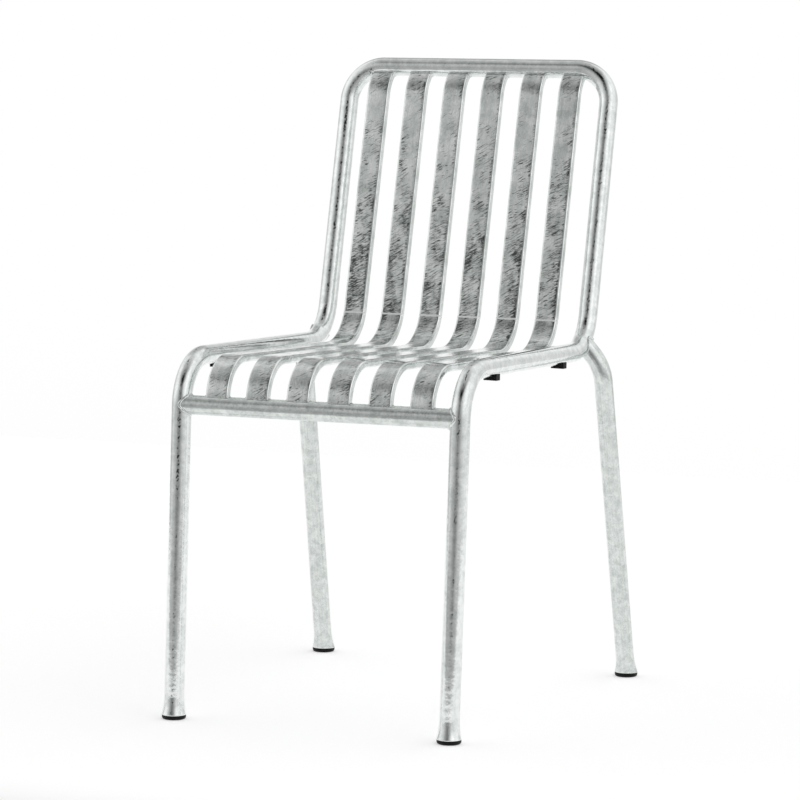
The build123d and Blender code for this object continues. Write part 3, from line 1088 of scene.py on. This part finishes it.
@dataclass
class Welds:
    """Weld beads: closed rings that follow the line where two pieces meet."""

    layout: ChairLayout
    slats: Slats
    tube_bead: float = 1.9
    slat_bead: float = 1.0

    def ring(self, name: str, line: Array, radius: float, seed: int) -> bpy.types.Object:
        """A bead: a circle carried round a closed line, with the ripples of the pool.

        Its radius is r (1 + 0.17 noise), and the line's own direction comes from the
        difference of its neighbours.

        Args:
            name: Name of the bead.
            line: (rows, 3) closed line in millimetres.
            radius: Mean radius of the bead.
            seed: Seed of the ripples.

        Returns:
            The bead as a closed ring.
        """
        way = unit(np.roll(line, -1, 0) - np.roll(line, 1, 0))
        middle = line.mean(0)
        outward = line - middle
        outward = unit(outward - (outward * way).sum(-1, keepdims=True) * way)
        side = np.cross(way, outward)
        angle = np.linspace(0, 2 * math.pi, 14, endpoint=False)
        round_way = (np.cos(angle)[None, :, None] * outward[:, None]
                     + np.sin(angle)[None, :, None] * side[:, None])
        bumps = 1 + 0.17 * wave_noise(line, 2.6, seed)
        points = line[:, None] + radius * bumps[:, None, None] * round_way
        straight = points.copy()
        return closed_surface(name, points, straight, wrap_rows=True)

    def on_side_tube(self, start: Array, way: Array, side: Side) -> Array:
        """Where a line first meets a frame tube, near the front rail or the rear bend.

        Each point goes along its way by the distance that it still is from the surface,
        over and over, so it settles on the surface: distance to the axis - tube radius.

        Args:
            start: (n, 3) points outside the tube.
            way: (3,) their common direction, of length one.
            side: Which frame tube.

        Returns:
            (n, 3) points on the tube.
        """
        lay = self.layout
        path = BarPath.bent(lay.side_corners(side), [lay.frame_bend, lay.frame_bend, lay.top_bend],
                            run_step=1.0, arc_step=0.5)
        points = start.copy()
        for _ in range(60):
            gaps = np.linalg.norm(points[:, None] - path.points[None], axis=-1).min(1)
            points = points + (gaps - lay.tube_radius)[:, None] * way
        return points

    def tube_joint(self, end: Array, way: Array, side: Side) -> Array:
        """Line where a brace tube meets a frame tube.

        Args:
            end: The brace's end on the frame tube's axis.
            way: Direction of the brace towards that end.
            side: Which frame tube.

        Returns:
            (72, 3) closed line.
        """
        angle = np.linspace(0, 2 * math.pi, 72, endpoint=False)[:, None]
        across = unit(np.cross(way, vec(0, 1, 0.3)))
        lift = np.cross(across, way)
        ring = np.cos(angle) * across + np.sin(angle) * lift
        start = end - way * 30.0 + ring * self.layout.brace_radius
        return self.on_side_tube(start, way, side)

    def slat_joint(self, path: BarPath, axis: tuple[float, float], radius: float,
                   at_top: bool) -> Array:
        """Line where a slat meets a rail, from the slat's own rows of points.

        On each lengthwise line of the slat it is the place where the distance to the
        rail's axis falls to the rail's radius, found between the two rows around it.

        Args:
            path: The slat's axis.
            axis: Y and Z of the rail's axis.
            radius: The rail's radius.
            at_top: True for the top rail.

        Returns:
            (columns, 3) closed line.
        """
        points, _ = self.slats.grid(path)
        if at_top:
            points = points[::-1]
        points = points[:60]
        fine = np.linspace(0, 1, 12)[:, None, None, None]
        between = (points[None, :-1] * (1 - fine) + points[None, 1:] * fine)
        rows = between.transpose(1, 0, 2, 3).reshape(-1, points.shape[1], 3)
        gaps = np.hypot(rows[..., 1] - axis[0], rows[..., 2] - axis[1])
        first = np.argmax(gaps > radius, axis=0)
        return rows[first, np.arange(points.shape[1])]

    def build(self) -> list[bpy.types.Object]:
        """Builds and dresses the four sets of beads.

        Returns:
            The four pieces.
        """
        lay = self.layout
        rail_beads, leg_beads, front_beads, top_beads = [], [], [], []
        for seed, side in enumerate(Side):
            end = vec(side.value * lay.side_spacing / 2, *lay.front_rail)
            line = self.tube_joint(end, vec(side.value, 0, 0), side)
            rail_beads.append(self.ring(f"rail_bead_{side.word}", line, self.tube_bead, seed))
            _, knee, weld = lay.rear_leg_corners(side)
            line = self.tube_joint(weld, unit(weld - knee), side)
            leg_beads.append(self.ring(f"leg_bead_{side.word}", line, self.tube_bead, seed + 2))
        for number, x in enumerate(self.slats.places(), start=1):
            path = self.slats.path(x)
            line = self.slat_joint(path, lay.front_rail, lay.brace_radius, False)
            front_beads.append(self.ring(f"front_bead_{number}", line, self.slat_bead, number + 4))
            line = self.slat_joint(path, lay.top_corner, lay.tube_radius, True)
            top_beads.append(self.ring(f"top_bead_{number}", line, self.slat_bead, number + 10))
        sets = {"front_rail_welds": rail_beads, "rear_leg_welds": leg_beads,
                "slat_front_welds": front_beads, "slat_top_welds": top_beads}
        return [dress(joined(f"beads_{node}", beads), WELD_ZINC, node)
                for node, beads in sets.items()]


@dataclass
class Glides:
    """Black glides: a pad with a rounded edge under each flared rim."""

    layout: ChairLayout
    radius: float = 15.0
    edge: float = 3.2
    top_edge: float = 0.4

    def surface(self, name: str, x: float, y: float) -> bpy.types.Object:
        """A pad turned from its half section: flat below, a quarter circle, a straight side.

        Args:
            name: Name of the piece.
            x: The pad's middle across the chair.
            y: The pad's middle along the chair.

        Returns:
            The piece.
        """
        height = self.layout.rim_height
        angle = np.linspace(0, math.pi / 2, 9)
        low = np.stack([self.radius - self.edge + self.edge * np.sin(angle),
                        self.edge - self.edge * np.cos(angle)], -1)
        high = np.stack([self.radius - self.top_edge + self.top_edge * np.cos(angle),
                         height - self.top_edge + self.top_edge * np.sin(angle)], -1)
        middle = np.array([[6.0, 0.0]])
        half = np.concatenate([middle, low, high])
        turn = np.linspace(0, 2 * math.pi, 64, endpoint=False)
        points = np.stack(np.broadcast_arrays(
            x + half[:, None, 0] * np.cos(turn), y + half[:, None, 0] * np.sin(turn),
            half[:, None, 1]), -1)
        return closed_surface(name, points, points.copy())

    def build(self) -> list[bpy.types.Object]:
        """Builds and dresses the four glides.

        Returns:
            The four pieces.
        """
        lay = self.layout
        made = []
        for place in Place:
            for side in Side:
                corners = (lay.side_corners(side) if place is Place.FRONT
                           else lay.rear_leg_corners(side))
                way = unit(corners[1] - corners[0])
                rim = corners[0] + way * lay.rim_height / way[2]
                word = f"{place.value}_{side.word}"
                glide = self.surface(f"glide_pad_{word}", rim[0], rim[1])
                made.append(dress(glide, GLIDE_BLACK, f"foot_glide_{word}"))
        return made


@dataclass
class Buffers:
    """Black stacking buffers under the seat rails, each with its screw."""

    layout: ChairLayout
    runs: tuple[float, float] = (98.0, 330.0)
    length: float = 12.0
    depth: float = 5.0
    lip_reach: float = 8.0
    lip_rise: float = 4.7
    seat_reach: float = 2.0
    tail_root: float = 4.0
    tail_drop: float = 1.0
    tail_reach: float = 9.0
    tail_thickness: float = 1.8
    tail_lift: float = 0.3
    screw_head: float = 3.0
    screw_shank: float = 1.6
    head_height: float = 1.7
    recess_depth: float = 0.9

    def rail_frame(self, side: Side, run: float) -> tuple[Array, Array, Array, Array]:
        """Place and directions of a buffer on its seat rail.

        Args:
            side: Which seat rail.
            run: Distance from the front corner.

        Returns:
            Point on the axis, outward, up and along directions.
        """
        _, front, rear, _, _ = self.layout.side_corners(side)
        along = unit(rear - front)
        outward = vec(side.value, 0, 0)
        up = vec(0, -along[2], along[1])
        return front + along * run, outward, up, along

    def outline(self) -> Array:
        """Section of a buffer: a block with a lip outside, a thin tail inside, and the
        tube's arc on top.

        Returns:
            (columns, 2) places outwards and up from the tube's axis.
        """
        radius = self.layout.tube_radius
        bottom = -radius - self.depth
        lip_top = -radius + self.lip_rise
        tail_top = bottom + self.tail_lift + self.tail_thickness
        inner = np.array([-self.tail_root, -radius - self.tail_drop])
        outer_angle = math.asin(lip_top / radius)
        reach = np.linspace(-math.pi / 2 - 0.02, -math.pi / 2 + (outer_angle + math.pi / 2), 16)
        arc = np.stack([np.cos(reach), np.sin(reach)], -1) * (radius + 0.05)
        block = np.array([[self.lip_reach, bottom], [self.lip_reach, lip_top]])
        tail = np.array([inner, [-self.tail_reach, tail_top],
                         [-self.tail_reach, bottom + self.tail_lift]])
        arc = arc[arc[:, 0] < self.lip_reach][::-1]
        return np.concatenate([block, arc, tail])

    def block(self, name: str, side: Side, run: float) -> bpy.types.Object:
        """A buffer: its section carried along the rail, with rounded edges.

        Args:
            name: Name of the piece.
            side: Which seat rail.
            run: Distance from the front corner.

        Returns:
            The piece.
        """
        middle, outward, up, along = self.rail_frame(side, run)
        outline = self.outline()
        rows = np.array([-0.5, 0.5]) * self.length
        points = (middle + rows[:, None, None] * along + outline[None, :, :1] * outward
                  + outline[None, :, 1:] * up)
        piece = closed_surface(name, points, points.copy(), crease=20.0)
        bevel = piece.modifiers.new("moulded_edges", "BEVEL")
        bevel.width = 0.35 * MM
        bevel.segments = 3
        bevel.limit_method = "ANGLE"
        bevel.angle_limit = math.radians(35)
        bevel.harden_normals = True
        return piece

    def screw(self, name: str, side: Side, run: float) -> bpy.types.Object:
        """A countersunk screw: a half section turned round, its head hollowed by a cross.

        The head's face goes up into the head by the recess depth wherever the smaller of
        |x| and |y| is under half a bar's width and the larger under the cross's reach.

        Args:
            name: Name of the screw.
            side: Which seat rail.
            run: Distance from the front corner.

        Returns:
            The screw.
        """
        middle, outward, up, along = self.rail_frame(side, run)
        bottom = -self.layout.tube_radius - self.depth
        face = np.linspace(0.15, self.screw_head, 22)
        neck = np.array([self.screw_shank, self.screw_shank])
        radius = np.concatenate([face, neck])
        rise = np.concatenate([np.zeros(22), [self.head_height, self.head_height + 5.0]])
        turn = np.linspace(0, 2 * math.pi, 72, endpoint=False)
        x, y = radius[:, None] * np.cos(turn), radius[:, None] * np.sin(turn)
        low, high = np.minimum(abs(x), abs(y)), np.maximum(abs(x), abs(y))
        cross = np.clip((0.42 - low) / 0.12, 0, 1) * np.clip((1.75 - high) / 0.2, 0, 1)
        height = bottom + rise[:, None] + self.recess_depth * cross * (rise[:, None] == 0)
        points = (middle + x[..., None] * outward + y[..., None] * along + height[..., None] * up)
        return closed_surface(name, points, points.copy())

    def build(self) -> list[bpy.types.Object]:
        """Builds and dresses the buffers and their screws.

        Returns:
            The five pieces.
        """
        made, screws = [], []
        for place, run in zip(Place, self.runs):
            for side in Side:
                word = f"{place.value}_{side.word}"
                block = self.block(f"buffer_block_{word}", side, run)
                made.append(dress(block, BUFFER_BLACK, f"stacking_buffer_{word}"))
                screws.append(self.screw(f"buffer_screw_{word}", side, run))
        made.append(dress(joined("countersunk_buffer_screws", screws), SCREW_PLATE, "buffer_screws"))
        return made


# Studio


@dataclass
class Camera:
    """The camera of the reference view, solved from the chair's outlines."""

    place: tuple[float, float, float] = (1.7784, -4.2103, 0.8370)
    azimuth: float = 22.87
    elevation: float = 5.72
    roll: float = 0.6
    lens: float = 163.07

    def build(self) -> bpy.types.Object:
        """Makes the camera the scene's own.

        Returns:
            The camera.
        """
        azimuth, elevation, roll = map(math.radians, (self.azimuth, self.elevation, self.roll))
        back = vec(math.sin(azimuth) * math.cos(elevation),
                   -math.cos(azimuth) * math.cos(elevation), math.sin(elevation))
        right = vec(math.cos(azimuth), math.sin(azimuth), 0)
        up = np.cross(back, right)
        rolled_right = right * math.cos(roll) + up * math.sin(roll)
        rolled_up = up * math.cos(roll) - right * math.sin(roll)
        data = bpy.data.cameras.new("view_camera")
        data.sensor_width = 36.0
        data.lens = self.lens
        data.clip_end = 60.0
        camera = bpy.data.objects.new("view_camera", data)
        turn = np.eye(4)
        turn[:3, 0], turn[:3, 1], turn[:3, 2], turn[:3, 3] = rolled_right, rolled_up, back, self.place
        camera.matrix_world = Matrix(turn.tolist())
        bpy.context.scene.collection.objects.link(camera)
        bpy.context.scene.camera = camera
        return camera


@dataclass(frozen=True)
class SoftPatch:
    """A soft-edged patch of the studio's walls, seen by the camera and the metal alike.

    Attributes:
        azimuth: Direction from the chair in degrees, 0 the front and 90 the right.
        elevation: Height in degrees.
        inner: Angle from its middle within which it is whole, in degrees.
        outer: Angle from its middle at which it ends, in degrees.
        light: How much brighter it is than the walls, below 0 if it is darker.
        flat: How many times wider than high it is near the horizon.
    """

    azimuth: float
    elevation: float
    inner: float
    outer: float
    light: float
    flat: float = 1.0


@dataclass
class Studio:
    """A pale floor in a white studio with a dim front wall, behind the viewer, and ceiling.

    The walls are at the level of plain white and light the chair evenly. Bare metal shows
    what stands round it, so the dim front gives the tubes their dark streaks, and the dim
    ceiling makes the tops of the rails and the bends grey.
    """

    floor_size: float = 4.8
    wall: float = 1.0
    floor_glow: float = 0.41
    front_floor_shade: tuple[float, float] = (-0.64, -1.15)
    patches: tuple[SoftPatch, ...] = (
        SoftPatch(-10.7, -34.3, 41.0, 110.0, -0.50, flat=2.1),
        SoftPatch(4.1, 32.6, 1.0, 56.0, -0.74),
        SoftPatch(53.0, 34.3, 21.0, 33.0, 0.20, flat=1.2),
        SoftPatch(-20.0, 74.0, 20.0, 47.0, -0.48),
        SoftPatch(4.0, 16.0, 2.0, 8.0, -0.08, flat=0.4),
        SoftPatch(-70.0, 12.0, 8.0, 30.0, 0.14),
        SoftPatch(-112.0, 0.0, 8.0, 36.0, -0.24),
        SoftPatch(146.0, 0.0, 8.0, 40.0, -0.22),
        SoftPatch(-157.0, 42.0, 10.0, 34.0, -0.50),
    )

    def build_world(self) -> None:
        """Builds the walls: their level plus each patch's light times its mask, which goes
        smoothly from 0 at the patch's outer angle to 1 at its inner one."""
        world = bpy.data.worlds.new("white_studio")
        bpy.context.scene.world = world
        world.use_nodes = True
        world.node_tree.nodes.clear()
        way = add_node(world, "TexCoord")
        total = None
        for patch in self.patches:
            azimuth, elevation = math.radians(patch.azimuth), math.radians(patch.elevation)
            middle = unit(vec(math.sin(azimuth) * math.cos(elevation),
                              -math.cos(azimuth) * math.cos(elevation),
                              patch.flat * math.sin(elevation)))
            raised = add_node(world, "VectorMath", settings={"operation": "MULTIPLY"},
                              inputs={1: (1.0, 1.0, patch.flat)},
                              links={0: way.outputs["Generated"]})
            turned = add_node(world, "VectorMath", settings={"operation": "NORMALIZE"},
                              links={0: raised.outputs["Vector"]})
            close = add_node(world, "VectorMath", settings={"operation": "DOT_PRODUCT"},
                             inputs={1: middle.tolist()}, links={0: turned.outputs["Vector"]})
            turn = add_node(world, "Math", settings={"operation": "ARCCOSINE"},
                            links={0: close.outputs["Value"]})
            mask = add_node(world, "MapRange", settings={"interpolation_type": "SMOOTHSTEP"},
                            inputs={"From Min": math.radians(patch.inner),
                                    "From Max": math.radians(patch.outer),
                                    "To Min": patch.light, "To Max": 0.0},
                            links={"Value": turn.outputs["Value"]})
            added = add_node(world, "Math", settings={"operation": "ADD"}, inputs={1: self.wall},
                             links={0: mask.outputs["Result"]})
            if total is not None:
                world.node_tree.links.new(total.outputs["Value"], added.inputs[1])
            total = added
        light = add_node(world, "Background", inputs={"Color": (1, 1, 1, 1)},
                         links={"Strength": total.outputs["Value"]})
        add_node(world, "OutputWorld", links={"Surface": light.outputs["Background"]})

    def build_floor(self) -> bpy.types.Object:
        """A wide pale floor that keeps the chair's shadow, greyed towards the dim front by
        painted shade.

        Its small glow lifts it to white for the camera and for reflections, and gives the
        Colour and glow fall smoothly over Y from near to far, a painted shade of the dim front.

        Returns:
            The floor.
        """
        half = self.floor_size / 2
        mesh = bpy.data.meshes.new("studio_floor")
        mesh.from_pydata([(-half, -half, 0), (half, -half, 0), (half, half, 0), (-half, half, 0)],
                         [], [(0, 1, 2, 3)])
        floor = bpy.data.objects.new("studio_floor", mesh)
        bpy.context.scene.collection.objects.link(floor)
        material = bpy.data.materials.new("pale_studio_floor")
        material.use_nodes = True
        material.node_tree.nodes.clear()
        where = add_node(material, "TexCoord")
        place = add_node(material, "SeparateXYZ", links={"Vector": where.outputs["Object"]})
        near, far = self.front_floor_shade
        lit = add_node(material, "MapRange", settings={"interpolation_type": "SMOOTHSTEP"},
                       inputs={"From Min": far, "From Max": near},
                       links={"Value": place.outputs["Y"]})
        # Painted shade: the floor greys from ececec to b4b4b4 towards the dim front, and its glow
        # falls with it.
        tone = add_node(material, "Mix", settings={"data_type": "RGBA"},
                        inputs={6: linear("b4b4b4"), 7: linear("ececec")},
                        links={0: lit.outputs["Result"]})
        matt = add_node(material, "BsdfDiffuse", links={"Color": tone.outputs[2]})
        ray = add_node(material, "LightPath")
        direct = add_node(material, "Math", settings={"operation": "MAXIMUM"},
                          links={0: ray.outputs["Is Camera Ray"], 1: ray.outputs["Is Glossy Ray"]})
        seen = add_node(material, "Math", settings={"operation": "MAXIMUM"},
                        links={0: direct.outputs["Value"], 1: ray.outputs["Is Transmission Ray"]})
        share = add_node(material, "MapRange",
                         inputs={"To Min": 0.35 * self.floor_glow, "To Max": self.floor_glow},
                         links={"Value": lit.outputs["Result"]})
        level = add_node(material, "Math", settings={"operation": "MULTIPLY"},
                         links={0: seen.outputs["Value"], 1: share.outputs["Result"]})
        glow = add_node(material, "Emission", links={"Strength": level.outputs["Value"]})
        both = add_node(material, "AddShader",
                        links={0: matt.outputs["BSDF"], 1: glow.outputs["Emission"]})
        add_node(material, "OutputMaterial", links={"Surface": both.outputs["Shader"]})
        mesh.materials.append(material)
        return floor


def main() -> None:
    """Loads the frame, builds every sub-assembly in order, and sets the studio."""
    logging.basicConfig(level=logging.INFO, format="%(name)s: %(message)s")
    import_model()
    bpy.context.scene.view_settings.view_transform = "Standard"
    layout = ChairLayout()
    slats = Slats(layout)
    parts = [SideTubes(layout), Braces(layout), slats, Welds(layout, slats), Glides(layout),
             Buffers(layout)]
    for part in parts:
        pieces = part.build()
        LOG.info("%s: %d pieces", type(part).__name__, len(pieces))
    studio = Studio()
    studio.build_world()
    studio.build_floor()
    Camera().build()


if __name__ == "__main__":
    main()
